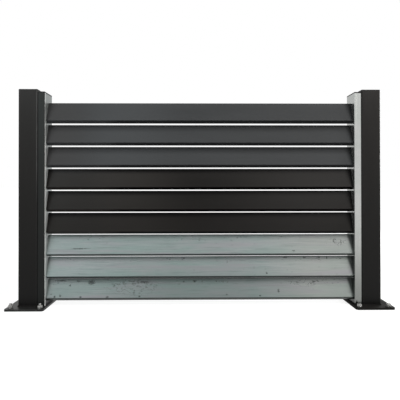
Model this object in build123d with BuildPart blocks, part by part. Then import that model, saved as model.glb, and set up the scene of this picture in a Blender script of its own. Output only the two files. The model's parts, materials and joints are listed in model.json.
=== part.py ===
"""Louvred fence bay: two bolted-down posts, two side rails and nine folded steel slats."""
import os

from build123d import *

# Millimetres. Origin under the left base plate, +X along the fence, +Y to the back, +Z up.
POST_SIZE = 80.0
POST_WALL = 3.0
POST_RADIUS = 6.0
POST_SPACING = 1430.0

PLATE_SIZE = 160.0
PLATE_THICKNESS = 8.0
PLATE_RADIUS = 10.0
PLATE_CHAMFER = 0.6
BOLT_SPACING = 120.0
BOLT_HOLE_RADIUS = 7.0

POST_TOP = 904.0
POST_CAP_HEIGHT = 4.0
POST_CAP_CHAMFER = 1.5
PLUG_DEPTH = 18.0
PLUG_WALL = 2.0
PLUG_CLEARANCE = 0.3
PLUG_BORE_RADIUS = 1.0

RAIL_WIDTH = 30.0
RAIL_DEPTH = 80.0
RAIL_LIP = 22.0
RAIL_SHEET = 2.0
RAIL_BEND = 3.5
RAIL_TOP = 893.0
RAIL_CAP_HEIGHT = 5.0
RAIL_CAP_CHAMFER = 1.0
RAIL_PLUG_RADIUS = 2.0

SLAT_SHEET = 1.0
SLAT_BEND = 2.2
SLAT_PITCH = 93.4
LOWEST_SLAT = 22.5
SLATS_PER_FINISH = 3
TAB_LOW = 28.0
TAB_HIGH = 68.0
TAB_INSET = 0.3
TAB_LENGTH = 16.0
TAB_RADIUS = 4.0

# Folded slat section as (back, up) from the end of the lower lip.
LIP_END = (-8.0, 0.0)
FRONT_FOLD = (-25.0, 10.5)
TOP_FOLD = (0.0, 88.4)
REAR_FOLD = (14.0, 88.4)
HEM_END = (14.0, 78.4)

HALF_POST = POST_SIZE / 2
WEB_INSET = HALF_POST + RAIL_WIDTH
SLAT_LENGTH = POST_SPACING - 2 * WEB_INSET


def save(node, name):
    node.part.label = name
    export_step(node.part, f"parts/{name}.step")


def base_plate(name, x):
    """Square plate with rounded corners and four anchor holes."""
    with BuildPart() as plate:
        with BuildSketch():
            with Locations((x, 0)):
                RectangleRounded(PLATE_SIZE, PLATE_SIZE, PLATE_RADIUS)
                with GridLocations(BOLT_SPACING, BOLT_SPACING, 2, 2):
                    Circle(BOLT_HOLE_RADIUS, mode=Mode.SUBTRACT)
        extrude(amount=PLATE_THICKNESS)
        chamfer(plate.faces().sort_by(Axis.Z)[-1].outer_wire().edges(), PLATE_CHAMFER)
    save(plate, name)


def post(name, x):
    """Square hollow section standing on its plate."""
    with BuildPart() as tube:
        with BuildSketch(Plane.XY.offset(PLATE_THICKNESS)):
            with Locations((x, 0)):
                RectangleRounded(POST_SIZE, POST_SIZE, POST_RADIUS)
                inner = POST_SIZE - 2 * POST_WALL
                RectangleRounded(inner, inner, POST_RADIUS - POST_WALL, mode=Mode.SUBTRACT)
        extrude(amount=POST_TOP - PLATE_THICKNESS)
    save(tube, name)


def post_cap(name, x):
    """Push-in cap: flat head with a bevelled rim over a hollow plug."""
    plug = POST_SIZE - 2 * POST_WALL - 2 * PLUG_CLEARANCE
    with BuildPart() as cap:
        with BuildSketch(Plane.XY.offset(POST_TOP)):
            with Locations((x, 0)):
                RectangleRounded(POST_SIZE, POST_SIZE, POST_RADIUS)
        extrude(amount=POST_CAP_HEIGHT)
        chamfer(cap.faces().sort_by(Axis.Z)[-1].edges(), POST_CAP_CHAMFER)
        with BuildSketch(Plane.XY.offset(POST_TOP)):
            with Locations((x, 0)):
                RectangleRounded(plug, plug, POST_RADIUS - POST_WALL)
                bore = plug - 2 * PLUG_WALL
                RectangleRounded(bore, bore, PLUG_BORE_RADIUS, mode=Mode.SUBTRACT)
        extrude(amount=-PLUG_DEPTH)
    save(cap, name)


def side_rail(name, x, inward):
    """Lipped channel folded from sheet: lips on the post, web towards the slats."""
    near = x + inward * HALF_POST
    far = x + inward * WEB_INSET
    half = RAIL_DEPTH / 2
    with BuildPart() as rail:
        with BuildSketch(Plane.XY.offset(PLATE_THICKNESS)):
            with BuildLine():
                outline = FilletPolyline(
                    (near, -half + RAIL_LIP),
                    (near, -half),
                    (far, -half),
                    (far, half),
                    (near, half),
                    (near, half - RAIL_LIP),
                    radius=RAIL_BEND,
                )
                offset(outline, amount=RAIL_SHEET, side=Side.LEFT if inward > 0 else Side.RIGHT)
            make_face()
        extrude(amount=RAIL_TOP - PLATE_THICKNESS)
    save(rail, name)


def rail_cap(name, x, inward):
    """Flat cover on the channel with a hollow plug inside it."""
    middle = x + inward * (HALF_POST + RAIL_WIDTH / 2)
    shrink = 2 * RAIL_SHEET + 2 * PLUG_CLEARANCE
    with BuildPart() as cap:
        with BuildSketch(Plane.XY.offset(RAIL_TOP)):
            with Locations((middle, 0)):
                RectangleRounded(RAIL_WIDTH, RAIL_DEPTH, RAIL_BEND)
        extrude(amount=RAIL_CAP_HEIGHT)
        chamfer(cap.faces().sort_by(Axis.Z)[-1].edges(), RAIL_CAP_CHAMFER)
        with BuildSketch(Plane.XY.offset(RAIL_TOP)):
            with Locations((middle, 0)):
                RectangleRounded(RAIL_WIDTH - shrink, RAIL_DEPTH - shrink, RAIL_PLUG_RADIUS)
                bore = shrink + 2 * PLUG_WALL
                RectangleRounded(
                    RAIL_WIDTH - bore, RAIL_DEPTH - bore, PLUG_BORE_RADIUS, mode=Mode.SUBTRACT
                )
        extrude(amount=-PLUG_DEPTH)
    save(cap, name)


def on_face(up):
    """Depth of the sloping face at a height above the lip end."""
    slope = (TOP_FOLD[0] - FRONT_FOLD[0]) / (TOP_FOLD[1] - FRONT_FOLD[1])
    return FRONT_FOLD[0] + slope * (up - FRONT_FOLD[1])


def slat(name, height):
    """One-piece folded slat: lower lip, sloping face, top return, hem and end tabs."""
    section = [LIP_END, FRONT_FOLD, TOP_FOLD, REAR_FOLD, HEM_END]
    tab = [
        (on_face(TAB_LOW) + TAB_INSET, TAB_LOW),
        (on_face(TAB_HIGH) + TAB_INSET, TAB_HIGH),
        (on_face(TAB_HIGH) + TAB_LENGTH, TAB_HIGH),
        (on_face(TAB_LOW) + TAB_LENGTH, TAB_LOW),
    ]
    start = WEB_INSET
    end = POST_SPACING - WEB_INSET
    with BuildPart() as leaf:
        with BuildSketch(Plane.YZ.offset(start)):
            with Locations((0, height)):
                with BuildLine(mode=Mode.PRIVATE) as fold:
                    FilletPolyline(*section, radius=SLAT_BEND)
                    offset(amount=SLAT_SHEET, side=Side.RIGHT)
                add(make_face(fold.line, mode=Mode.PRIVATE))
        extrude(amount=SLAT_LENGTH)
        for tab_start in (start, end - SLAT_SHEET):
            with BuildSketch(Plane.YZ.offset(tab_start)) as flap:
                with Locations((0, height)):
                    Polygon(*tab, align=None)
                rear = flap.vertices().sort_by(Axis.Y)[-2:]
                fillet(rear, TAB_RADIUS)
            extrude(amount=SLAT_SHEET)
    save(leaf, name)


os.makedirs("parts", exist_ok=True)

for side, post_x, towards_slats in (("left", 0.0, 1), ("right", POST_SPACING, -1)):
    base_plate(f"{side}_base_plate", post_x)
    post(f"{side}_post", post_x)
    post_cap(f"{side}_post_cap", post_x)
    side_rail(f"{side}_side_rail", post_x, towards_slats)
    rail_cap(f"{side}_rail_cap", post_x, towards_slats)

row = 0
for finish in ("zinc", "black", "grey"):
    for number in range(SLATS_PER_FINISH, 0, -1):
        slat(f"{finish}_slat_{number}", LOWEST_SLAT + row * SLAT_PITCH)
        row += 1
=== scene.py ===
"""Looks for one bay of louvred fence: coated and galvanised steel, anchors, welds and rivets."""
import json
import math
from collections import namedtuple

import bmesh
import bpy
from mathutils import Matrix, Vector


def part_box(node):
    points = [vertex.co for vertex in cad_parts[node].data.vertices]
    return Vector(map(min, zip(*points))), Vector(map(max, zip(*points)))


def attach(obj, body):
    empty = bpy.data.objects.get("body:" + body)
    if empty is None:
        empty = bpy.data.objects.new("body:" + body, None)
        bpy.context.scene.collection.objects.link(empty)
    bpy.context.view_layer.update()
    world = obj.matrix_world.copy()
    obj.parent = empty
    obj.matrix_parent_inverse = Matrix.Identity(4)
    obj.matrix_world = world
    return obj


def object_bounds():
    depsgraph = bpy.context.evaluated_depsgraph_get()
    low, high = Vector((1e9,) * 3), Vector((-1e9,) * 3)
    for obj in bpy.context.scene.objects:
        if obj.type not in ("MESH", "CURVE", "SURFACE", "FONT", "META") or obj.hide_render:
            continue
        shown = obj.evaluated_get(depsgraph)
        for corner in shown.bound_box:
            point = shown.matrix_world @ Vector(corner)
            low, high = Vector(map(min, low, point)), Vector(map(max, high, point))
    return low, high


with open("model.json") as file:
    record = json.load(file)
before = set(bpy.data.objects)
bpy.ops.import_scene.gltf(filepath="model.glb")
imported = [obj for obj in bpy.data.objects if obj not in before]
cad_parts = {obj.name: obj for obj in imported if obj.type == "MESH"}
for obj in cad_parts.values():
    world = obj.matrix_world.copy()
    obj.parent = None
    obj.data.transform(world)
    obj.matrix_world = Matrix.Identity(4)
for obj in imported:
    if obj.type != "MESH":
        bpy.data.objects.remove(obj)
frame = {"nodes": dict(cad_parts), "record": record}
cad_low, cad_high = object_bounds()
nodes = frame["nodes"]
mounts = {mount["name"]: mount for mount in frame["record"]["mounts"]}
scene = bpy.context.scene
scene.view_settings.view_transform = "Standard"

MM = 0.001
SIDES = ("left", "right")
FINISHES = ("grey", "black", "zinc")
SLAT_NUMBERS = (1, 2, 3)

# Layout read from the solids, in metres. The left post's axis is at the origin.
SLAT_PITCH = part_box("zinc_slat_1")[0].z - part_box("zinc_slat_2")[0].z
LOWEST_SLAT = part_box("zinc_slat_3")[0].z
RAIL_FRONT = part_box("left_side_rail")[0].y
RAIL_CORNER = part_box("left_side_rail")[1].x
FENCE_TOP = cad_high.z
FENCE_MIDDLE = (cad_low.x + cad_high.x) / 2
FENCE_CENTRE = (cad_low + cad_high) / 2
HALF_RUN = (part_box("zinc_slat_1")[1].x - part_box("zinc_slat_1")[0].x) / 2
HALF_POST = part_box("left_post")[1].x
HALF_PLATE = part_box("left_base_plate")[1].x

# Rows of slats, counted up from the lowest, row 0: first the zinc rows, then the black, then the grey.
BLACK_ROW = len(SLAT_NUMBERS)
GREY_ROW = 2 * len(SLAT_NUMBERS)
TOP_ROW = len(FINISHES) * len(SLAT_NUMBERS) - 1
ROW_BLUR = 0.1

# Sockets of a Mix node, which has a set of them for each type of data.
FLOAT_A, FLOAT_B, FLOAT_OUT = 2, 3, 0
COLOUR_A, COLOUR_B, COLOUR_OUT = 6, 7, 2


class Shader:
    """Builds one node material around a Principled BSDF, with textures in object space."""

    def __init__(self, name, roughness=0.5, metallic=0.0, specular=0.5):
        self.material = bpy.data.materials.new(name)
        self.material.use_nodes = True
        self.tree = self.material.node_tree
        self.bsdf = self.tree.nodes["Principled BSDF"]
        self.bsdf.inputs["Roughness"].default_value = roughness
        self.bsdf.inputs["Metallic"].default_value = metallic
        self.bsdf.inputs["Specular IOR Level"].default_value = specular
        self.place = self.tree.nodes.new("ShaderNodeTexCoord").outputs["Object"]

    def new(self, kind, **settings):
        node = self.tree.nodes.new(kind)
        for key, value in settings.items():
            setattr(node, key, value)
        return node

    def set(self, socket, value):
        if isinstance(value, bpy.types.NodeSocket):
            self.tree.links.new(value, socket)
        else:
            socket.default_value = value

    def mapped(self, stretch, offset):
        mapping = self.new("ShaderNodeMapping")
        self.set(mapping.inputs["Vector"], self.place)
        self.set(mapping.inputs["Scale"], stretch)
        self.set(mapping.inputs["Location"], offset)
        return mapping.outputs[0]

    def noise(self, scale, stretch=(1, 1, 1), offset=(0, 0, 0), detail=4.0, rough=0.55, warp=0.0):
        noise = self.new("ShaderNodeTexNoise")
        self.set(noise.inputs["Vector"], self.mapped(stretch, offset))
        self.set(noise.inputs["Scale"], scale)
        self.set(noise.inputs["Detail"], detail)
        self.set(noise.inputs["Roughness"], rough)
        self.set(noise.inputs["Distortion"], warp)
        return noise.outputs["Fac"]

    def cells(self, scale, stretch=(1, 1, 1), offset=(0, 0, 0)):
        """Distance to the nearest cell centre, and one random number for each cell."""
        voronoi = self.new("ShaderNodeTexVoronoi")
        self.set(voronoi.inputs["Vector"], self.mapped(stretch, offset))
        self.set(voronoi.inputs["Scale"], scale)
        chance = self.new("ShaderNodeSeparateColor")
        self.set(chance.inputs[0], voronoi.outputs["Color"])
        return voronoi.outputs["Distance"], chance.outputs[0]

    def span(self, value, low, high, to_low=0.0, to_high=1.0):
        """Smooth step from to_low to to_high as value goes from low to high."""
        node = self.new("ShaderNodeMapRange", interpolation_type="SMOOTHSTEP")
        self.set(node.inputs["Value"], value)
        self.set(node.inputs["From Min"], low)
        self.set(node.inputs["From Max"], high)
        self.set(node.inputs["To Min"], to_low)
        self.set(node.inputs["To Max"], to_high)
        return node.outputs["Result"]

    def math(self, operation, a, b=0.0):
        node = self.new("ShaderNodeMath", operation=operation)
        self.set(node.inputs[0], a)
        self.set(node.inputs[1], b)
        return node.outputs[0]

    def chain(self, operation, values):
        result = values[0]
        for value in values[1:]:
            result = self.math(operation, result, value)
        return result

    def times(self, *values):
        return self.chain("MULTIPLY", values)

    def highest(self, *values):
        return self.chain("MAXIMUM", values)

    def mix(self, factor, a, b):
        """Colour between a and b."""
        node = self.new("ShaderNodeMix", data_type="RGBA")
        self.set(node.inputs["Factor"], factor)
        self.set(node.inputs[COLOUR_A], a if isinstance(a, bpy.types.NodeSocket) else (*a, 1.0))
        self.set(node.inputs[COLOUR_B], b if isinstance(b, bpy.types.NodeSocket) else (*b, 1.0))
        return node.outputs[COLOUR_OUT]

    def blend(self, factor, a, b):
        """Number between a and b."""
        node = self.new("ShaderNodeMix", data_type="FLOAT")
        self.set(node.inputs["Factor"], factor)
        self.set(node.inputs[FLOAT_A], a)
        self.set(node.inputs[FLOAT_B], b)
        return node.outputs[FLOAT_OUT]

    def axis(self, name):
        node = self.new("ShaderNodeSeparateXYZ")
        self.set(node.inputs[0], self.place)
        return node.outputs[name]

    def grain(self, noise, limits, rough, smoother, rougher):
        """Roughness from rough - smoother to rough + rougher as the noise goes from limit to limit."""
        return self.span(noise, *limits, rough - smoother, rough + rougher)

    def colour(self, socket):
        self.set(self.bsdf.inputs["Base Color"], socket)

    def roughness(self, socket):
        self.set(self.bsdf.inputs["Roughness"], socket)

    def metallic(self, socket):
        self.set(self.bsdf.inputs["Metallic"], socket)

    def bump(self, height, strength, distance):
        node = self.new("ShaderNodeBump")
        self.set(node.inputs["Height"], height)
        self.set(node.inputs["Strength"], strength)
        self.set(node.inputs["Distance"], distance)
        self.set(self.bsdf.inputs["Normal"], node.outputs[0])


def scaled(colour, factor):
    return tuple(min(1.0, c * factor) for c in colour)


# Middle of a noise, which runs from 0 to 1, and how a pattern is stretched: along the fence, upwards or
# not at all.
NOISE_MIDDLE = 0.5
LENGTHWISE = (0.12, 1, 1)
UPRIGHT = (1, 1, 0.18)
EVEN = (1, 1, 1)
ROLLED_LENGTHWISE = (0.045, 1, 1)
ROLLED_UPRIGHT = (1, 1, 0.03)

# Colours of dirt and wear, and of painted shade and highlights.
BLACK = (0.0, 0.0, 0.0)
DUST = (0.13, 0.125, 0.115)
HAIR_SCRATCH = (0.12, 0.12, 0.12)
# Paler rubbed coat, also used as a painted highlight on the left post's upper inner corner.
RUB_AND_HIGHLIGHT_COAT = (0.115, 0.12, 0.12)
BRIGHT_ZINC = (0.445, 0.435, 0.405)
PURPLISH_ZINC = (0.36, 0.355, 0.38)
# Dark of the real marks on the zinc slats, also used for their painted shade.
DARK_MARK_AND_SHADE = (0.03, 0.036, 0.033)
SPLASHED_DIRT = (0.02, 0.02, 0.019)
# Painted highlight on the left rail's corner behind its coated front.
HIGHLIGHTED_CORNER = (0.94, 0.96, 0.95)
# Painted shade in the groove between a rail and its post.
GROOVE_SHADE = (0.01, 0.01, 0.01)


def from_post(s):
    """Distances from the nearer post's axis, along the fence and through it."""
    across = s.math("PINGPONG", s.axis("X"), FENCE_MIDDLE)
    return across, s.math("ABSOLUTE", s.axis("Y"))


def along_run(s):
    """Place along the slats: -1 at their left ends, 0 in the middle and 1 at their right ends."""
    return s.math("DIVIDE", s.math("SUBTRACT", s.axis("X"), FENCE_MIDDLE), HALF_RUN)


def rows_up(s):
    """Height above the lowest slat's lip, counted in rows of slats."""
    return s.math("DIVIDE", s.math("SUBTRACT", s.axis("Z"), LOWEST_SLAT), SLAT_PITCH)


def slat_share(s):
    """How far up its own slat a spot lies, as a share of the pitch."""
    return s.math("FRACT", rows_up(s))


# Weight for the painted shade that darkens coats towards the ground.
def ground_shade(s):
    """1 at the ground and 0 at the fence's top."""
    return s.span(s.axis("Z"), 0.0, FENCE_TOP, 1.0, 0.0)


# Where coats are rubbed, and where a painted highlight lies on the left post's upper inner corner: limits
# in metres from a post's axis, from the left post's inner face or from the ground, and how much is rubbed
# or highlighted.
CORNER_THROUGH = (HALF_POST - 3.0 * MM, HALF_POST - 1.0 * MM)
CORNER_ACROSS = (HALF_POST - 6.0 * MM, HALF_POST - 4.5 * MM)
INNER_CORNER_HIGHLIGHT = (12 * MM, 8 * MM)
UPPER_POST_HIGHLIGHT = (0.45 * FENCE_TOP, 0.69 * FENCE_TOP)
LEAST_RUBBED = 0.1
RUBBED_AND_HIGHLIGHTED = 0.7
PLATE_RIM = (HALF_PLATE - 1.6 * MM, HALF_PLATE - 0.6 * MM)
RIM_RUBBED = 0.12


def post_corner_wear_and_highlight(s):
    """Wear on a post's rounded corners, with a painted highlight on the upper part of the left post's
    inner ones.
    """
    across, through = from_post(s)
    corner = s.times(s.span(through, *CORNER_THROUGH), s.span(across, *CORNER_ACROSS))
    inner = s.span(s.math("ABSOLUTE", s.math("SUBTRACT", s.axis("X"), HALF_POST)), *INNER_CORNER_HIGHLIGHT)
    upper = s.span(s.axis("Z"), *UPPER_POST_HIGHLIGHT)
    return s.times(corner, s.blend(s.times(inner, upper), LEAST_RUBBED, RUBBED_AND_HIGHLIGHTED))


def plate_rim(s):
    """Light wear on a base plate's sides and the bevel above them."""
    return s.span(s.highest(*from_post(s)), *PLATE_RIM, 0.0, RIM_RUBBED)


# Painted shade in a slat's upper end corners. It starts at a share of the pitch, reaches inward by its
# slant for each pitch of height, and is full a little outside its edge. Pairs are for the left and right
# ends.
WEDGE_FROM = 0.25
WEDGE_SLANT = (13 * MM, 24 * MM)
WEDGE_STRENGTH = (0.65, 0.8)
WEDGE_FULL = -4 * MM
SOFT_WEDGE = 20 * MM
HARD_WEDGE = 8 * MM


def slat_end_shade(s, share, soft):
    """Painted shade wedged into a slat's upper end corners, beside the rails; soft is how wide its edge
    fades.
    """
    from_middle = s.math("SUBTRACT", s.axis("X"), FENCE_MIDDLE)
    inward = s.math("SUBTRACT", HALF_RUN, s.math("ABSOLUTE", from_middle))
    slant = s.span(from_middle, -MM, MM, *WEDGE_SLANT)
    reach = s.times(s.math("SUBTRACT", share, WEDGE_FROM), slant)
    strength = s.span(from_middle, -MM, MM, *WEDGE_STRENGTH)
    return s.times(s.span(s.math("SUBTRACT", inward, reach), soft, WEDGE_FULL), strength)


# Powder coats: limits of each pattern, how much it covers, and factors of the coat's colour.
COAT_SPECULAR = 0.15
COAT_DARKEST = 0.86
COAT_PALEST = 1.16
MOTTLE_LIMITS = (0.3, 0.7)
DUST_LIMITS = (0.55, 0.86)
DUST_COVER = 0.07
HAIR_STRETCH = 0.03
HAIR_LIMITS = (0.70, 0.78)
HAIR_COVER = 0.10
RUB_LIMITS = (0.30, 0.62)
RUB_COVER = (0.35, 0.75)
COAT_GRAIN = (0.25, 0.75)

# Painted light and shade on a coated slat, with factors of its own colour: lip is the painted shade under
# its lip, dust the painted light on the lip's left end, a paler painted sheen left of the middle, and
# corner the painted shade in its upper end corners. top_from is the share of the pitch from which its top
# has painted shade, top how much, and left_end the warmer, darker colour of its left end.
SlatShading = namedtuple("SlatShading", "lip dust top_from top faded corner left_end")

# Where the painted light and shade go: places along the run, or shares of the pitch for the lip and the
# top, with how much is covered.
SHEEN_LEFT = (-0.95, -0.52)
SHEEN_RIGHT = (0.02, -0.46)
LEAST_SHEEN = 0.4
WARM_LEFT_END = (-0.6, -0.95)
WARM_LEFT_END_COVER = 0.6
LEFT_END_SHADE = (-0.87, -1.0)
LEFT_END_SHADE_COVER = 0.12
RIGHT_END_SHADE = (0.87, 1.0)
RIGHT_END_SHADE_COVER = 0.3
TOP_RAMP = 0.2
LIT_LIP_END = (-0.5, -0.65)
COATED_LIP = (0.13, 0.10)


def coat_tone(s, base, flow):
    """Colour of a powder coat: mottling along the flow, a film of dust and a few hair scratches."""
    mottle = s.noise(scale=9.0, stretch=flow, detail=5.0)
    tone = s.mix(s.span(mottle, *MOTTLE_LIMITS), scaled(base, COAT_DARKEST), scaled(base, COAT_PALEST))
    dust = s.noise(scale=38.0, offset=(4, 1, 7), detail=8.0, rough=0.7)
    tone = s.mix(s.span(dust, *DUST_LIMITS, 0.0, DUST_COVER), tone, DUST)
    hair_run = tuple(HAIR_STRETCH if f < 1 else 1.0 for f in flow)
    hair = s.noise(scale=210.0, stretch=hair_run, offset=(2, 9, 3), detail=2.0)
    return mottle, s.mix(s.span(hair, *HAIR_LIMITS, 0.0, HAIR_COVER), tone, HAIR_SCRATCH)


def slat_light_and_shade(s, tone, base, shading):
    """Slat coat with painted light and shade: a paler painted sheen left of the middle, a warmer, darker
    left end, painted shade in the upper end corners and softer painted shade at both ends, painted shade
    at the top below the next slat, and a lip with painted shade under it and painted light at its left
    end."""
    along = along_run(s)
    rows = rows_up(s)
    share = slat_share(s)
    faded = s.times(s.span(along, *SHEEN_LEFT), s.span(along, *SHEEN_RIGHT))
    faded = s.times(faded, s.span(rows, BLACK_ROW, GREY_ROW, LEAST_SHEEN, 1.0))
    tone = s.mix(faded, tone, scaled(base, shading.faded))
    tone = s.mix(s.span(along, *WARM_LEFT_END, 0.0, WARM_LEFT_END_COVER), tone, shading.left_end)
    left_end_shade = s.span(along, *LEFT_END_SHADE, 0.0, LEFT_END_SHADE_COVER)
    right_end_shade = s.span(along, *RIGHT_END_SHADE, 0.0, RIGHT_END_SHADE_COVER)
    corner = s.highest(left_end_shade, right_end_shade, slat_end_shade(s, share, SOFT_WEDGE))
    tone = s.mix(corner, tone, scaled(base, shading.corner))
    covered = s.span(rows, TOP_ROW + ROW_BLUR, TOP_ROW - ROW_BLUR)
    top = s.span(share, shading.top_from, shading.top_from + TOP_RAMP)
    tone = s.mix(s.times(top, covered, shading.top), tone, BLACK)
    lip = s.mix(s.span(along, *LIT_LIP_END), scaled(base, shading.lip), scaled(base, shading.dust))
    return s.mix(s.span(share, *COATED_LIP), tone, lip)


def powder_coat(name, base, rough, flow, foot=1.0, specular=COAT_SPECULAR, edge=None, shading=None):
    """Satin powder coat with orange peel; foot is how dark it is at the ground, a painted shade, edge
    finds the places where the coat is rubbed paler or carries a painted highlight, and shading gives a
    slat its painted light and shade."""
    s = Shader(name, roughness=rough, specular=specular)
    mottle, tone = coat_tone(s, base, flow)
    if foot < 1.0:
        tone = s.mix(ground_shade(s), tone, scaled(base, foot))
    if edge:
        rubbed = s.noise(scale=30.0, offset=(9, 4, 2), detail=6.0, rough=0.7)
        tone = s.mix(s.times(edge(s), s.span(rubbed, *RUB_LIMITS, *RUB_COVER)), tone, RUB_AND_HIGHLIGHT_COAT)
    if shading:
        tone = slat_light_and_shade(s, tone, base, shading)
    s.colour(tone)
    s.roughness(s.grain(mottle, COAT_GRAIN, rough, smoother=0.06, rougher=0.07))
    s.bump(s.noise(scale=1300.0, detail=2.0), strength=0.22, distance=0.2 * MM)
    return s.material


# Galvanised sheet: limits of each pattern, how much it covers, and factors of the sheet's colour.
PATCH_LIMITS = (0.34, 0.66)
STREAK_LIMITS = (0.48, 0.70)
STREAK_COVER = 0.50
STREAK_SHADE = 0.66
SHINE_LIMITS = (0.54, 0.72)
SHINE_COVER = 0.40
SHINE_LIGHT = 1.28
SPANGLE_COVER = 0.09
SPANGLE_SHADE = 0.72
ZINC_GRAIN = (0.3, 0.75)
STREAK_RELIEF = 0.5


def zinc_tone(s, cool, warm, run, streaky=1.0):
    """Colour of galvanised sheet: cloudy patches, rolling streaks along the run and spangle."""
    patches = s.noise(scale=4.0, stretch=(1, 1.6, 3.4), detail=4.0, warp=0.5)
    tone = s.mix(s.span(patches, *PATCH_LIMITS), cool, warm)
    streak = s.noise(scale=170.0, stretch=run, offset=(1, 5, 2), detail=5.0, rough=0.6)
    dark = s.span(streak, *STREAK_LIMITS, 0.0, STREAK_COVER * streaky)
    tone = s.mix(dark, tone, scaled(cool, STREAK_SHADE))
    shine = s.noise(scale=190.0, stretch=run, offset=(8, 2, 6), detail=4.0)
    bright = s.span(shine, *SHINE_LIMITS, 0.0, SHINE_COVER * streaky)
    tone = s.mix(bright, tone, scaled(warm, SHINE_LIGHT))
    chance = s.cells(scale=120.0, stretch=(1, 1, 1.4))[1]
    return streak, s.mix(s.times(chance, SPANGLE_COVER), tone, scaled(cool, SPANGLE_SHADE))


# Marks worn into the zinc slats, listed one by one: the slat's number, then in millimetres the place
# along the fence and up from the lip, half the length and half the height.
WORN_SPOTS = (
    (1, 210, 33, 34, 1.6), (1, 1108, 22, 6, 2.5), (1, 1281, 62, 3, 4), (1, 1313, 58, 3, 6),
    (2, 995, 22, 4, 4), (2, 1077, 83, 8, 3), (2, 1160, 83, 5, 3), (2, 1219, 84, 6, 2.5),
    (2, 1254, 82, 4, 4), (3, 92, 12, 10, 4), (3, 104, 18, 4, 4), (3, 127, 23, 4, 5),
    (3, 213, 16, 5, 5), (3, 325, 16, 6, 5), (3, 165, 62, 4, 4), (3, 125, 81, 20, 3),
    (3, 198, 79, 8, 3), (3, 254, 74, 13, 8), (3, 477, 75, 22, 4), (3, 1045, 39, 4, 7),
)
SCRATCHED = ((3, 1165, 72, 75, 16), (3, 430, 55, 110, 30), (1, 1300, 60, 50, 18))
SPOT_EDGE = (1.1, 0.7)
RAGGED_LIMITS = (0.3, 0.7)
RAGGED_SPOT = 0.7
RAGGED_SCRATCH = 0.3
SPOT_STRENGTH = 0.75

# Other marks on them: shares of the pitch, rows up, limits of their patterns, and strengths.
UNDER_FOLD = (0.60, 0.84)
SCUFFED_PATCH = (0.44, 0.60)
SCUFF_LIMITS = (0.60, 0.64)
SCUFF_STRENGTH = 0.8
SCRATCH_LIMITS = (0.020, 0.006)
SCRATCH_STRENGTH = 0.7
PIT_LIMITS = (0.26, 0.12)
PIT_CHANCE = (0.80, 0.84)
PIT_STRENGTH = 0.9
PITS_ELSEWHERE = 0.12
PITTED_SHARE = (0.42, 0.16)
PITTED_ROWS = (1.2, 0.4)

# Painted shade on them, under the lips and on the two lower slats' flat tops: rows up, shares of the
# pitch, places along the run, and strengths.
BELOW_ROW_1 = (1.1, 1.0)
BELOW_ROW_2 = (2.1, 2.0)
ZINC_LIP = (0.133, 0.10)
LOWEST_LIP_LIFT = 0.035
LIP_SHADE = 0.75
LOWEST_LIP_SHADE = 0.95
RIGHT_PART = (-0.3, 0.4)
TOP_FOLD = (0.930, 0.938)
TOP_FOLD_SHADE = 0.98

# Tones of their sheet: places along the run, rows up, how much is covered and a factor of the colour. The
# darker middle low down and the darker highest and lowest zinc slats are painted shade.
BRIGHT_END = (0.3, 0.8)
BRIGHT_END_COVER = 0.4
BAND_LIMITS = (0.48, 0.68)
BAND_COVER = 0.65
SHADED_MIDDLE_RUN = (0.85, 0.15)
SHADED_MIDDLE_ROWS = (2.6, 0.4)
SHADED_MIDDLE_COVER = 0.42
DULL_SHADE = 0.42
HIGHEST_ZINC = (2.0, 2.1)
HIGHEST_ZINC_COVER = 0.14
LOWEST_ZINC = (1.0, 0.9)
LOWEST_ZINC_COVER = 0.09


def worn(s, spots, ragged):
    """1 inside each spot, with an edge as ragged as asked."""
    noise = s.noise(scale=300.0, offset=(4, 4, 9), detail=3.0)
    edge = s.span(noise, *RAGGED_LIMITS, -ragged, ragged)
    found = 0.0
    for slat, along, up, reach, rise in spots:
        lip = LOWEST_SLAT / MM + (SLAT_NUMBERS[-1] - slat) * SLAT_PITCH / MM
        away = s.new("ShaderNodeVectorMath", operation="LENGTH")
        spread = (1 / reach / MM, 0, 1 / rise / MM)
        s.set(away.inputs[0], s.mapped(spread, (-along / reach, 0, -(lip + up) / rise)))
        found = s.highest(found, s.span(s.math("ADD", away.outputs["Value"], edge), *SPOT_EDGE))
    return found


def slat_marks(s, rows, share):
    """Scuffs and scratches on a zinc slat, pits near the ground, and the spots placed by hand."""
    under_fold = s.span(share, *UNDER_FOLD)
    patch = s.span(s.noise(scale=5.5, offset=(6, 0, 4), detail=2.0), *SCUFFED_PATCH)
    scuff = s.noise(scale=170.0, stretch=(0.4, 1, 1), offset=(3, 3, 1), detail=5.0, rough=0.6)
    scuff = s.times(s.span(scuff, *SCUFF_LIMITS), under_fold, patch, SCUFF_STRENGTH)
    crossing = s.noise(scale=60.0, stretch=(0.5, 1, 1), offset=(1, 8, 5))
    from_line = s.math("ABSOLUTE", s.math("SUBTRACT", crossing, NOISE_MIDDLE))
    scratched = worn(s, SCRATCHED, RAGGED_SCRATCH)
    scratch = s.times(s.span(from_line, *SCRATCH_LIMITS), scratched, SCRATCH_STRENGTH)
    distance, chance = s.cells(scale=62.0, stretch=(0.7, 1, 1), offset=(5, 2, 8))
    pit = s.times(s.span(distance, *PIT_LIMITS), s.span(chance, *PIT_CHANCE))
    near_ground = s.times(s.span(share, *PITTED_SHARE), s.span(rows, *PITTED_ROWS))
    pitted = s.highest(near_ground, s.times(under_fold, patch), PITS_ELSEWHERE)
    pit = s.times(pit, pitted, PIT_STRENGTH)
    spot = s.times(worn(s, WORN_SPOTS, RAGGED_SPOT), SPOT_STRENGTH)
    return s.highest(scuff, pit, scratch, spot)


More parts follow.
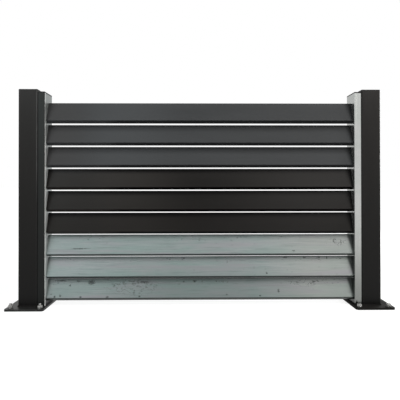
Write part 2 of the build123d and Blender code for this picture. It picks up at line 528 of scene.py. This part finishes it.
def slat_zinc_shade(s, rows, share):
    """Painted shade under a zinc slat's lip, in its upper end corners, and on the two lower slats' flat
    tops.
    """
    lowest = s.span(rows, *BELOW_ROW_1)
    lip_edge = s.math("SUBTRACT", share, s.times(lowest, LOWEST_LIP_LIFT))
    lip = s.times(s.span(lip_edge, *ZINC_LIP), s.blend(lowest, LIP_SHADE, LOWEST_LIP_SHADE))
    second = s.times(s.span(rows, *BELOW_ROW_2), s.span(along_run(s), *RIGHT_PART))
    top = s.times(s.span(share, *TOP_FOLD), s.highest(lowest, second), TOP_FOLD_SHADE)
    return s.highest(lip, slat_end_shade(s, share, HARD_WEDGE), top)


def slat_zinc_sheet(name, cool, warm, rough):
    """Bare galvanised slat: brighter at the right, purplish bands, painted shade low in the middle and on
    the highest and lowest zinc slats, with marks, and painted shade under the lips, in the end corners
    and on flat tops."""
    s = Shader(name, roughness=rough, metallic=0.2, specular=0.2)
    streak, tone = zinc_tone(s, cool, warm, ROLLED_LENGTHWISE)
    along = along_run(s)
    rows = rows_up(s)
    share = slat_share(s)
    tone = s.mix(s.span(along, *BRIGHT_END, 0.0, BRIGHT_END_COVER), tone, BRIGHT_ZINC)
    band = s.noise(scale=8.0, stretch=(0.4, 1, 5), offset=(7, 3, 1), detail=3.0)
    tone = s.mix(s.span(band, *BAND_LIMITS, 0.0, BAND_COVER), tone, PURPLISH_ZINC)
    # Painted shade: darker low in the middle and on the highest and lowest zinc slats.
    middle = s.span(s.math("ABSOLUTE", along), *SHADED_MIDDLE_RUN)
    dull = s.times(middle, s.span(rows, *SHADED_MIDDLE_ROWS), SHADED_MIDDLE_COVER)
    highest_slat = s.span(rows, *HIGHEST_ZINC, 0.0, HIGHEST_ZINC_COVER)
    lowest_slat = s.span(rows, *LOWEST_ZINC, 0.0, LOWEST_ZINC_COVER)
    dull = s.math("ADD", dull, s.highest(highest_slat, lowest_slat))
    tone = s.mix(dull, tone, scaled(cool, DULL_SHADE))
    mark = slat_marks(s, rows, share)
    # Real marks and painted shade share one dark colour.
    s.colour(s.mix(s.highest(mark, slat_zinc_shade(s, rows, share)), tone, DARK_MARK_AND_SHADE))
    s.roughness(s.grain(streak, ZINC_GRAIN, rough, smoother=0.08, rougher=0.12))
    s.bump(s.math("SUBTRACT", s.times(streak, STREAK_RELIEF), mark), strength=0.14, distance=0.4 * MM)
    return s.material


# Side rails: heights and depths behind the front face in metres, covers, and factors of the colour. The
# shade towards the ground and the top and the shade on the inner side beside the zinc slats are painted
# shade;
# the splash is dirt.
RAIL_STREAKS = 0.35
SHADE_WAVE = 0.12
LOW_SHADE = (0.55, 0.02)
HIGH_SHADE = (0.42, 0.80)
HEIGHT_SHADE_TONE = 0.42
SHADED_SIDE_DEPTH = (6 * MM, 14 * MM)
SHADED_SIDE_COVER = 0.2
SIDE_SHADE = 0.4
WEB_DEPTH = (3.5 * MM, 5.5 * MM)
BESIDE_ZINC = (BLACK_ROW + ROW_BLUR, BLACK_ROW - ROW_BLUR)
BESIDE_COATS = (BLACK_ROW - ROW_BLUR, BLACK_ROW + ROW_BLUR)
SPLASH_DEPTH = (3 * MM, 6 * MM)
SPLASH_HIGHER = 24 * MM
SPLASH_WAVE = 10 * MM
SPLASH_EDGE = (20 * MM, 12 * MM)
SPLASH_COVER = 0.97

# The left rail's coated front, the painted highlight on the corner behind it, and the painted shade in
# the
# groove between rail and post: depths, heights and reaches in metres, covers, and a factor of the coat's
# colour for its painted shade at the ground.
FRONT_DEPTH = (3.4 * MM, 2.4 * MM)
FRONT_EDGE = (RAIL_CORNER - 0.15 * MM, RAIL_CORNER - 0.5 * MM)
FRONT_FOOT = 0.5
FRONT_ROUGHNESS = 0.45
HIGHLIGHT_DEPTH = (12 * MM, 6 * MM)
HIGHLIGHT_HEIGHT = (0.55, 0.85)
HIGHLIGHT_COVER = (1.0, 0.35)
GROOVE_REACH = 4.5 * MM
GROOVE_FULL = 0.55
GROOVE_COVER = 0.75
COATED_GROOVE_REACH = 7 * MM
COATED_GROOVE_HEIGHT = (0.02, 0.45)
COATED_GROOVE_FOOT = 0.2


def rail_zinc_sheet(name, cool, warm, rough, metallic, web_metallic=None, foot=0.0, top=0.0, coat=None):
    """Galvanised channel with dirt splashed on its foot and painted shade in the groove beside the post.
    foot and top darken it towards the ground and towards the top, painted shade, web_metallic is how
    metallic its inner side is beside the coated slats, and coat is the dark finish on the left rail's
    front, with a painted highlight on the corner behind it."""
    s = Shader(name, roughness=rough, metallic=metallic, specular=COAT_SPECULAR)
    streak, tone = zinc_tone(s, cool, warm, ROLLED_UPRIGHT, RAIL_STREAKS)
    depth = s.math("SUBTRACT", s.axis("Y"), RAIL_FRONT)
    rows = rows_up(s)
    edge = s.noise(scale=14.0, stretch=(1, 1, 0.4), offset=(2, 2, 2), detail=5.0)
    wave = s.math("SUBTRACT", edge, NOISE_MIDDLE)
    height = s.math("ADD", s.axis("Z"), s.times(wave, SHADE_WAVE))
    # Painted shade: darker towards the ground and towards the top.
    height_shade = s.math("ADD", s.span(height, *LOW_SHADE, 0.0, foot), s.span(height, *HIGH_SHADE, 0.0, top))
    tone = s.mix(height_shade, tone, scaled(cool, HEIGHT_SHADE_TONE))
    # Painted shade on the inner side beside the zinc slats.
    side = s.times(s.span(depth, *SHADED_SIDE_DEPTH), s.span(rows, *BESIDE_ZINC, 0.0, SHADED_SIDE_COVER))
    tone = s.mix(side, tone, scaled(cool, SIDE_SHADE))
    if web_metallic is not None:
        web = s.times(s.span(depth, *WEB_DEPTH), s.span(rows, *BESIDE_COATS))
        s.metallic(s.blend(web, metallic, web_metallic))
    higher = s.span(depth, *SPLASH_DEPTH, 0.0, SPLASH_HIGHER)
    wavy = s.math("ADD", s.axis("Z"), s.times(wave, SPLASH_WAVE))
    splash = s.span(s.math("SUBTRACT", wavy, higher), *SPLASH_EDGE, 0.0, SPLASH_COVER)
    tone = s.mix(splash, tone, SPLASHED_DIRT)
    grain = s.grain(streak, ZINC_GRAIN, rough, smoother=0.06, rougher=0.08)
    groove_reach = GROOVE_REACH
    groove_cover = GROOVE_COVER
    if coat:
        # Painted highlight on the corner behind the coated front.
        corner_highlight = s.times(s.span(depth, *HIGHLIGHT_DEPTH), s.span(height, *HIGHLIGHT_HEIGHT, *HIGHLIGHT_COVER))
        tone = s.mix(corner_highlight, tone, HIGHLIGHTED_CORNER)
        front = s.times(s.span(depth, *FRONT_DEPTH), s.span(s.axis("X"), *FRONT_EDGE))
        coated = coat_tone(s, coat, UPRIGHT)[1]
        # The coated front is darker towards the ground, painted shade.
        coated = s.mix(ground_shade(s), coated, scaled(coat, FRONT_FOOT))
        tone = s.mix(front, tone, coated)
        grain = s.blend(front, grain, FRONT_ROUGHNESS)
        s.metallic(s.times(s.span(front, 0.0, 1.0, metallic, 0.0), s.math("SUBTRACT", 1.0, corner_highlight)))
        groove_reach = COATED_GROOVE_REACH
        groove_cover = s.span(height, *COATED_GROOVE_HEIGHT, COATED_GROOVE_FOOT, GROOVE_COVER)
    # Painted shade in the groove beside the post.
    groove = s.span(from_post(s)[0], HALF_POST + groove_reach, HALF_POST + GROOVE_FULL * groove_reach)
    s.colour(s.mix(s.times(groove, groove_cover), tone, GROOVE_SHADE))
    s.roughness(grain)
    s.bump(streak, strength=0.08, distance=0.3 * MM)
    return s.material


# Fasteners and caps: limits of their patterns, covers, and factors of their colour.
PLATED_LIMITS = (0.35, 0.7)
PLATED_SHADE = 0.55
PLATED_GRAIN = (0.3, 0.7)
SPARKLE_COVER = 0.2
SPARKLE_LIGHT = 1.3
WEAR_LIMITS = (0.35, 0.75)
PLASTIC_SHADE = 0.8
PLASTIC_LIGHT = 1.6
PLASTIC_ROUGHNESS = 0.6
PLASTIC_GRAIN = (0.3, 0.7)


def plated_steel(name, base, rough):
    """Zinc-plated fasteners: fine crystalline sparkle and dull patches."""
    s = Shader(name, roughness=rough, metallic=0.95)
    dull = s.noise(scale=160.0, detail=5.0)
    chance = s.cells(scale=900.0)[1]
    tone = s.mix(s.span(dull, *PLATED_LIMITS), base, scaled(base, PLATED_SHADE))
    s.colour(s.mix(s.times(chance, SPARKLE_COVER), tone, scaled(base, SPARKLE_LIGHT)))
    s.roughness(s.grain(dull, PLATED_GRAIN, rough, smoother=0.08, rougher=0.15))
    s.bump(s.noise(scale=1500.0, detail=2.0), strength=0.2, distance=0.1 * MM)
    return s.material


def moulded_plastic(name, base):
    """Dark moulded caps, worn paler in patches."""
    s = Shader(name, roughness=PLASTIC_ROUGHNESS, specular=COAT_SPECULAR)
    wear = s.noise(scale=22.0, detail=6.0)
    s.colour(s.mix(s.span(wear, *WEAR_LIMITS), scaled(base, PLASTIC_SHADE), scaled(base, PLASTIC_LIGHT)))
    s.roughness(s.grain(wear, PLASTIC_GRAIN, PLASTIC_ROUGHNESS, smoother=0.1, rougher=0.1))
    s.bump(s.noise(scale=700.0, detail=3.0), strength=0.3, distance=0.25 * MM)
    return s.material


# Posts: darker towards the ground, painted shade, with a painted highlight on the left post's upper inner
# corner.
post_coat = powder_coat(
    "post_coat", base=(0.0165, 0.0156, 0.0146), rough=0.42, flow=UPRIGHT, foot=0.2, edge=post_corner_wear_and_highlight)
plate_coats = {
    "left": powder_coat(
        "left_plate_coat", base=(0.012, 0.012, 0.0115), rough=0.38, flow=EVEN, specular=0.2,
        edge=plate_rim),
    "right": powder_coat(
        "right_plate_coat", base=(0.014, 0.0133, 0.0126), rough=0.65, flow=EVEN, specular=0.03,
        edge=plate_rim),
}
weld_coat = powder_coat(
    "weld_coat", base=(0.0105, 0.0102, 0.0098), rough=0.65, flow=EVEN, specular=0.03)
# Slat coats: painted shade under the lips, at the tops below the next slat and in the end corners,
# painted light on the lips' left ends and left of the middle; the black coat is also darker towards the
# ground, painted shade.
grey_shading = SlatShading(
    lip=0.65, dust=1.6, top_from=0.56, top=0.24, faded=1.2, corner=0.5, left_end=(0.0575, 0.0552, 0.0544))
grey_coat = powder_coat(
    "grey_coat", base=(0.0605, 0.0642, 0.0672), rough=0.6, flow=LENGTHWISE, specular=0.06, shading=grey_shading)
black_shading = SlatShading(
    lip=0.05, dust=2.8, top_from=0.70, top=1.0, faded=2.3, corner=0.2, left_end=(0.0185, 0.017, 0.0152))
black_coat = powder_coat(
    "black_coat", base=(0.0123, 0.0113, 0.0104), rough=0.40, flow=LENGTHWISE, foot=0.75, specular=0.09,
    shading=black_shading)
slat_zinc = slat_zinc_sheet(
    "slat_zinc", cool=(0.292, 0.376, 0.362), warm=(0.345, 0.384, 0.39), rough=0.48)
left_rail_zinc = rail_zinc_sheet(
    "left_rail_zinc", cool=(0.54, 0.58, 0.57), warm=(0.58, 0.60, 0.59), rough=0.35, metallic=0.4, top=1.0,
    coat=(0.022, 0.025, 0.024))
right_rail_zinc = rail_zinc_sheet(
    "right_rail_zinc", cool=(0.455, 0.475, 0.455), warm=(0.495, 0.50, 0.49), rough=0.22, metallic=1.0,
    web_metallic=0.78, foot=0.95)
bolt_zinc = plated_steel("bolt_zinc", base=(0.36, 0.36, 0.35), rough=0.26)
cap_plastic = moulded_plastic("cap_plastic", base=(0.012, 0.012, 0.012))


def dress(name, material):
    mesh = nodes[name].data
    mesh.materials.clear()
    mesh.materials.append(material)


for side in SIDES:
    dress(f"{side}_post", post_coat)
    dress(f"{side}_base_plate", plate_coats[side])
    dress(f"{side}_post_cap", cap_plastic)
    dress(f"{side}_rail_cap", cap_plastic)
dress("left_side_rail", left_rail_zinc)
dress("right_side_rail", right_rail_zinc)
for number in SLAT_NUMBERS:
    dress(f"grey_slat_{number}", grey_coat)
    dress(f"black_slat_{number}", black_coat)
    dress(f"zinc_slat_{number}", slat_zinc)


def piece(name, bm, material):
    """Turns a bmesh in millimetres into a piece that rides on the fence."""
    mesh = bpy.data.meshes.new(name)
    bmesh.ops.scale(bm, vec=(MM, MM, MM), verts=bm.verts)
    bmesh.ops.recalc_face_normals(bm, faces=bm.faces)
    bm.to_mesh(mesh)
    bm.free()
    mesh.materials.append(material)
    obj = bpy.data.objects.new(name, mesh)
    scene.collection.objects.link(obj)
    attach(obj, "root")


def rings(bm, loops, closed=True):
    """Skins a list of equal loops of points; closed joins the last loop to the first, and otherwise
    both ends are filled."""
    made = [[bm.verts.new(p) for p in loop] for loop in loops]
    pairs = list(zip(made, made[1:])) + ([(made[-1], made[0])] if closed else [])
    for a, b in pairs:
        count = len(a)
        for i in range(count):
            j = (i + 1) % count
            bm.faces.new((a[i], a[j], b[j], b[i]))
    if not closed:
        bm.faces.new(made[-1])
        bm.faces.new(list(reversed(made[0])))


# Anchors in millimetres: M12 studs with plain washers and hexagon nuts, each turned as it was left,
# in degrees. A stud is turned by a multiple of its nut's turn.
LOOP_POINTS = 48
PLATE_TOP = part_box("left_base_plate")[1].z / MM
WASHER_OUTER = 10.0
WASHER_BORE = 6.5
WASHER_HEIGHT = 2.0
WASHER_EDGE = 0.4
NUT_FLATS = 18.0
NUT_HEIGHT = 10.0
NUT_CROWN = 8.7
NUT_BEVEL = math.tan(math.radians(30))
NUT_MOUTH_WIDTH = 0.6
NUT_MOUTH_DEPTH = 0.8
NUT_TURNS = {"left": (8, 37, 22, 51), "right": (33, 14, 46, 5)}
STUD_RADIUS = 5.9
STUD_BOTTOM = 0.6
STUD_ABOVE_NUT = {"left": 7.0, "right": 0.8}
STUD_TIP = 1.2
STUD_SIDES = 24
STUD_TURN = 3
THREAD_PITCH = 1.75
THREAD_DEPTH = 0.9
STEPS_PER_THREAD = 4


def circle(centre, radius, z, turn=0.0):
    angles = [2 * math.pi * i / LOOP_POINTS + turn for i in range(LOOP_POINTS)]
    return [(centre[0] + radius * math.cos(a), centre[1] + radius * math.sin(a), z) for a in angles]


def washer(bm, centre):
    top = PLATE_TOP + WASHER_HEIGHT
    rings(bm, [
        circle(centre, WASHER_BORE, PLATE_TOP),
        circle(centre, WASHER_OUTER, PLATE_TOP),
        circle(centre, WASHER_OUTER, top - WASHER_EDGE),
        circle(centre, WASHER_OUTER - WASHER_EDGE, top),
        circle(centre, WASHER_BORE, top),
    ])


def hexagon(centre, height_at, turn):
    """One loop of a nut's sides; height_at gives the height at a distance from the axis."""
    points = []
    sixth = math.pi / 3
    for i in range(LOOP_POINTS):
        angle = 2 * math.pi * i / LOOP_POINTS
        radius = NUT_FLATS / 2 / math.cos((angle + sixth / 2) % sixth - sixth / 2)
        x = centre[0] + radius * math.cos(angle + turn)
        y = centre[1] + radius * math.sin(angle + turn)
        points.append((x, y, height_at(radius)))
    return points


def nut(bm, centre, turn):
    base = PLATE_TOP + WASHER_HEIGHT
    top = base + NUT_HEIGHT
    rings(bm, [
        circle(centre, STUD_RADIUS, base, turn),
        circle(centre, NUT_CROWN, base, turn),
        hexagon(centre, lambda r: base + (r - NUT_CROWN) * NUT_BEVEL, turn),
        hexagon(centre, lambda r: top - (r - NUT_CROWN) * NUT_BEVEL, turn),
        circle(centre, NUT_CROWN, top, turn),
        circle(centre, STUD_RADIUS + NUT_MOUTH_WIDTH, top, turn),
        circle(centre, STUD_RADIUS, top - NUT_MOUTH_DEPTH, turn),
    ])


def stud(bm, centre, turn, above):
    """Threaded rod from inside the plate's hole to above the nut, with a bevelled tip."""
    top = PLATE_TOP + WASHER_HEIGHT + NUT_HEIGHT + above
    length = top - STUD_BOTTOM
    steps = int(length / THREAD_PITCH * STEPS_PER_THREAD)
    loops = []
    for k in range(steps + 1):
        z = STUD_BOTTOM + length * k / steps
        tip = max(0.0, STUD_TIP - (top - z))
        loop = []
        for i in range(STUD_SIDES):
            angle = 2 * math.pi * i / STUD_SIDES
            phase = (z / THREAD_PITCH - i / STUD_SIDES) % 1.0
            groove = THREAD_DEPTH * abs(2 * phase - 1)
            radius = STUD_RADIUS - max(groove, tip)
            x = centre[0] + radius * math.cos(angle + turn)
            y = centre[1] + radius * math.sin(angle + turn)
            loop.append((x, y, z))
        loops.append(loop)
    rings(bm, loops, closed=False)


def anchors(side):
    """Four studs with nuts and washers in a plate's holes."""
    bm = bmesh.new()
    pattern = mounts[f"{side}_anchor_holes"]
    middle = Vector(pattern["pos_m"]) / MM
    half_x = pattern["dims"]["spacing_x_mm"] / 2
    half_y = pattern["dims"]["spacing_y_mm"] / 2
    spots = [(middle.x + sx * half_x, middle.y + sy * half_y) for sx in (-1, 1) for sy in (-1, 1)]
    for spot, turn in zip(spots, NUT_TURNS[side]):
        washer(bm, spot)
        nut(bm, spot, math.radians(turn))
        stud(bm, spot, math.radians(turn * STUD_TURN), STUD_ABOVE_NUT[side])
    piece(f"{side}_anchors", bm, bolt_zinc)


for side in SIDES:
    anchors(side)

# Weld beads in millimetres. A bead's points are shares of the quarter turn from the plate up to the
# post, with shares of the leg. A ripple is a height, its turn for each step and its start in radians.
POST_CORNER = 6.0
RAIL_GAP = 1.0
WELD_LEG = 4.6
WELD_STEPS = 38
CORNER_STEPS = 6
WELD_SINK = 0.2
BEAD = ((0.0, 1.0), (0.25, 0.80), (0.5, 0.74), (0.75, 0.80), (1.0, 1.0))
RIPPLES = ((0.5, 1.9, 0.0), (0.3, 0.63, 1.0))


def corner_path(x, y, start):
    """Spots round one corner of a post's foot, from a start angle, with their outward directions."""
    outs = []
    for i in range(CORNER_STEPS):
        angle = start - math.pi / 2 * i / CORNER_STEPS
        outs.append(Vector((math.cos(angle), math.sin(angle))))
    return [(Vector((x, y)) + out * POST_CORNER, out) for out in outs]


def foot_path(half):
    """Spots round the free sides of a post's foot, from the rail's front to its back, with their
    outward directions."""
    flat = half - POST_CORNER
    reach = half - RAIL_GAP
    path = []
    for i in range(WELD_STEPS):
        path.append((Vector((reach - (reach + flat) * i / WELD_STEPS, -half)), Vector((0, -1))))
    path += corner_path(-flat, -flat, -math.pi / 2)
    for i in range(WELD_STEPS):
        path.append((Vector((-half, -flat + 2 * flat * i / WELD_STEPS)), Vector((-1, 0))))
    path += corner_path(-flat, flat, -math.pi)
    for i in range(WELD_STEPS + 1):
        path.append((Vector((-flat + (reach + flat) * i / WELD_STEPS, half)), Vector((0, 1))))
    return path


def weld(name, post, inward):
    """Fillet weld along the free sides of a post's foot: a hollow bead with ripples."""
    low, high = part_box(post)
    axis_x = (low.x + high.x) / 2 / MM
    loops = []
    for i, (spot, out) in enumerate(foot_path((high.x - low.x) / 2 / MM)):
        leg = WELD_LEG
        for height, turn, start in RIPPLES:
            leg += height * math.sin(i * turn + start)
        loop = []
        for share, bulge in BEAD:
            angle = math.pi / 2 * share
            foot = spot + out * (leg * bulge * math.cos(angle) - WELD_SINK)
            rise = leg * bulge * math.sin(angle) - WELD_SINK / 2
            loop.append((axis_x + inward * foot.x, foot.y, PLATE_TOP + rise))
        root = spot - out * WELD_SINK * 2
        loop.append((axis_x + inward * root.x, root.y, PLATE_TOP - WELD_SINK / 2))
        loops.append(loop)
    bm = bmesh.new()
    rings(bm, loops, closed=False)
    piece(name, bm, weld_coat)


weld("left_foot_weld", "left_post", 1)
weld("right_foot_weld", "right_post", -1)

# Rivets in millimetres, placed up from the slat's lower lip and back from its sloping face. The profile
# of a head gives radius and lift above the tab.
FACE_FOOT_Y = -25.0
FACE_FOOT_RISE = 10.5
FACE_LEAN = 25.0
FACE_RISE = 77.9
TAB_SHEET = 1.0
RIVET_HEIGHTS = (38.0, 58.0)
RIVET_SETBACK = 9.0
RIVET_SIDES = 20
RIVET_PROFILE = ((4.0, 0.0), (4.0, 0.3), (3.5, 1.1), (2.4, 1.7), (1.3, 1.9), (0.9, 1.5))


def rivet(bm, x, y, z, inward):
    """Domed head with a small dimple where the pin broke off."""
    angles = [2 * math.pi * i / RIVET_SIDES for i in range(RIVET_SIDES)]
    loops = []
    for radius, lift in RIVET_PROFILE:
        head_x = x + inward * lift
        loops.append([(head_x, y + radius * math.cos(a), z + radius * math.sin(a)) for a in angles])
    rings(bm, loops, closed=False)


def tab_rivets(name, web_x, inward):
    """Two rivets in each slat's end tab on one side rail."""
    bm = bmesh.new()
    for finish in FINISHES:
        for number in SLAT_NUMBERS:
            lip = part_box(f"{finish}_slat_{number}")[0].z / MM
            for up in RIVET_HEIGHTS:
                y = FACE_FOOT_Y + FACE_LEAN / FACE_RISE * (up - FACE_FOOT_RISE) + RIVET_SETBACK
                rivet(bm, web_x + inward * TAB_SHEET, y, lip + up, inward)
    piece(name, bm, bolt_zinc)


tab_rivets("left_tab_rivets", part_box("left_side_rail")[1].x / MM, 1)
tab_rivets("right_tab_rivets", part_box("right_side_rail")[0].x / MM, -1)

# Stage: a pale floor that runs out to white, a white surround and three softboxes.
FLOOR_REACH = 60.0
FLOOR_DROP = 0.0005
FLOOR_COLOUR = (0.35, 0.35, 0.35, 1)
FLOOR_STRETCH = (0.6, 1, 1)
NEAR_LIFT = 0.80
FAR_LIFT = 1.0
FADE_FROM = 0.55
FADE_TO = 1.6
WHITE = (1, 1, 1, 1)
FILL_FROM = -0.1
FILL_TO = 0.6
FRONT_FILL = 0.06
BACK_FILL = 1.0


def seen_rays(tree):
    """1 for camera, glossy and transmission rays, 0 for diffuse light."""
    path = tree.nodes.new("ShaderNodeLightPath")
    result = path.outputs["Is Camera Ray"]
    for ray in ("Is Glossy Ray", "Is Transmission Ray"):
        either = tree.nodes.new("ShaderNodeMath")
        either.operation = "MAXIMUM"
        tree.links.new(result, either.inputs[0])
        tree.links.new(path.outputs[ray], either.inputs[1])
        result = either.outputs[0]
    return result


def make_floor():
    """Matt floor that glows where it is seen, pale near the fence and white far away."""
    mesh = bpy.data.meshes.new("floor")
    corners = [(FLOOR_REACH * x, FLOOR_REACH * y, 0) for x, y in ((-1, -1), (1, -1), (1, 1), (-1, 1))]
    mesh.from_pydata(corners, [], [(0, 1, 2, 3)])
    floor = bpy.data.objects.new("floor", mesh)
    floor.location = (FENCE_MIDDLE, 0, cad_low.z - FLOOR_DROP)
    scene.collection.objects.link(floor)
    s = Shader("floor")
    s.tree.nodes.remove(s.bsdf)
    away = s.new("ShaderNodeVectorMath", operation="LENGTH")
    s.set(away.inputs[0], s.mapped(FLOOR_STRETCH, (0, 0, 0)))
    lift = s.span(away.outputs["Value"], FADE_FROM, FADE_TO, NEAR_LIFT, FAR_LIFT)
    glow = s.new("ShaderNodeEmission")
    s.set(glow.inputs["Strength"], s.times(lift, seen_rays(s.tree)))
    matt = s.new("ShaderNodeBsdfDiffuse")
    s.set(matt.inputs["Color"], FLOOR_COLOUR)
    both = s.new("ShaderNodeAddShader")
    s.set(both.inputs[0], matt.outputs[0])
    s.set(both.inputs[1], glow.outputs[0])
    s.set(s.tree.nodes["Material Output"].inputs["Surface"], both.outputs[0])
    mesh.materials.append(s.material)


def make_surround():
    """White where it is seen; as diffuse light, dim in front of the fence and bright behind it."""
    world = bpy.data.worlds.new("studio")
    scene.world = world
    world.use_nodes = True
    tree = world.node_tree
    tree.nodes.clear()
    fill = tree.nodes.new("ShaderNodeBackground")
    side = tree.nodes.new("ShaderNodeSeparateXYZ")
    tree.links.new(tree.nodes.new("ShaderNodeTexCoord").outputs["Generated"], side.inputs[0])
    level = tree.nodes.new("ShaderNodeMapRange")
    level.interpolation_type = "SMOOTHSTEP"
    tree.links.new(side.outputs["Y"], level.inputs["Value"])
    level.inputs["From Min"].default_value = FILL_FROM
    level.inputs["From Max"].default_value = FILL_TO
    level.inputs["To Min"].default_value = FRONT_FILL
    level.inputs["To Max"].default_value = BACK_FILL
    tree.links.new(level.outputs["Result"], fill.inputs["Strength"])
    white = tree.nodes.new("ShaderNodeBackground")
    white.inputs["Color"].default_value = WHITE
    choose = tree.nodes.new("ShaderNodeMixShader")
    tree.links.new(seen_rays(tree), choose.inputs[0])
    tree.links.new(fill.outputs[0], choose.inputs[1])
    tree.links.new(white.outputs[0], choose.inputs[2])
    out = tree.nodes.new("ShaderNodeOutputWorld")
    tree.links.new(choose.outputs[0], out.inputs[0])


def softbox(name, place, aim, size, power, colour, spread=math.pi):
    lamp = bpy.data.lights.new(name, "AREA")
    lamp.shape = "RECTANGLE"
    lamp.size, lamp.size_y = size
    lamp.energy = power
    lamp.color = colour
    lamp.spread = spread
    obj = bpy.data.objects.new(name, lamp)
    obj.location = place
    obj.rotation_euler = (Vector(aim) - Vector(place)).to_track_quat("-Z", "Y").to_euler()
    scene.collection.objects.link(obj)


make_floor()
make_surround()
softbox(
    "key", place=(2.05, -1.55, 2.6), aim=FENCE_CENTRE, size=(1.3, 1.9), power=72.0,
    colour=(1.0, 0.97, 0.94))
softbox(
    "left", place=(-0.6, -1.0, 1.6), aim=(0.1, 0.0, 0.4), size=(0.7, 0.8), power=2.8,
    colour=(0.92, 0.98, 1.0), spread=math.radians(80))
softbox(
    "back", place=(3.4, 1.7, 1.1), aim=FENCE_CENTRE, size=(1.4, 1.2), power=45.0,
    colour=(1.0, 1.0, 1.0))

# Camera: found from edges of the posts, rails, plates and slats. Its turns are in radians.
FRAME_PX = 400.0
FOCAL_PX = 373.8
CENTRE_PX = (199.5, 183.02)
CAMERA_PLACE = (0.69425, -1.59522, 0.50827)
CAMERA_YAW = -0.01101
CAMERA_PITCH = 0.00574
CAMERA_ROLL = 0.00094
SENSOR_WIDTH = 36.0
CLIP_END = 200.0

camera_data = bpy.data.cameras.new("camera")
camera_data.sensor_width = SENSOR_WIDTH
camera_data.lens = FOCAL_PX / FRAME_PX * SENSOR_WIDTH
camera_data.shift_x = (FRAME_PX / 2 - CENTRE_PX[0]) / FRAME_PX
camera_data.shift_y = (CENTRE_PX[1] - FRAME_PX / 2) / FRAME_PX
camera_data.clip_end = CLIP_END
camera = bpy.data.objects.new("camera", camera_data)
tilted = Matrix.Rotation(CAMERA_PITCH, 4, "X") @ Matrix.Rotation(CAMERA_ROLL, 4, "Y")
turned = Matrix.Rotation(CAMERA_YAW, 4, "Z") @ tilted
camera.matrix_world = Matrix.Translation(CAMERA_PLACE) @ turned @ Matrix.Rotation(math.pi / 2, 4, "X")
scene.collection.objects.link(camera)
scene.camera = camera
